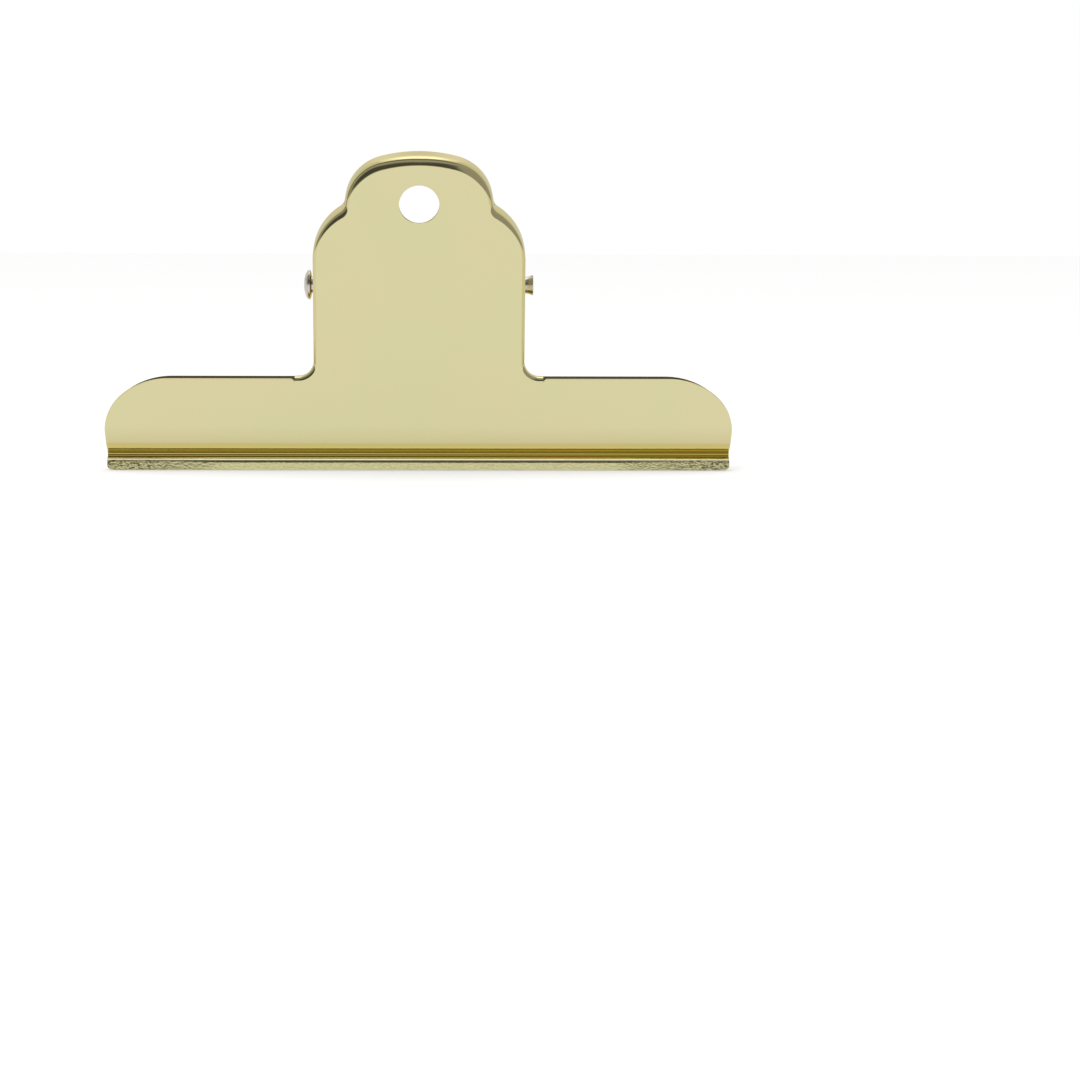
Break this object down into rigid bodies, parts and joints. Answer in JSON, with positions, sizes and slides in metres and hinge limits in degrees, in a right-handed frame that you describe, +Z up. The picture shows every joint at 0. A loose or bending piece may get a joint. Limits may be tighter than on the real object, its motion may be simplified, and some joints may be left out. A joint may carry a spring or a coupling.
{
  "type": "paper clamp",
  "caption": "Wide spring-closed paper clamp: plated sheet-steel plates with rolled jaw lips, handles that spread upwards, a riveted coil-spring hinge and hanging holes.",
  "frame": {"origin": "middle of the two closed jaw lips' cut edges, on the surface they rest on", "axes": "+X along the jaw to the right as seen from the front, +Y from the front plate to the rear plate, +Z up from the jaw to the handles"},
  "size_m": [0.15, 0.0442, 0.0759],
  "materials": {
    "champagne_plating": "bright pale gold plating on steel",
    "bright_nickel": "bright nickel",
    "spring_steel": "plain drawn wire"
  },
  "bodies": {
    "front": {"front_plate": "champagne_plating", "pivot_rivet": "bright_nickel", "torsion_spring": "spring_steel"},
    "rear": {"rear_plate": "champagne_plating"}
  },
  "joints": [
    {"name": "jaw_hinge", "type": "hinge", "parent": "front", "child": "rear", "pos_m": [0, 0, 0.0442], "axis": [1, 0, 0], "range_deg": [0, 50], "stiffness_Nm_per_rad": 1.5, "springref_deg": -31.51, "deforming": ["torsion_spring"]}
  ]
}
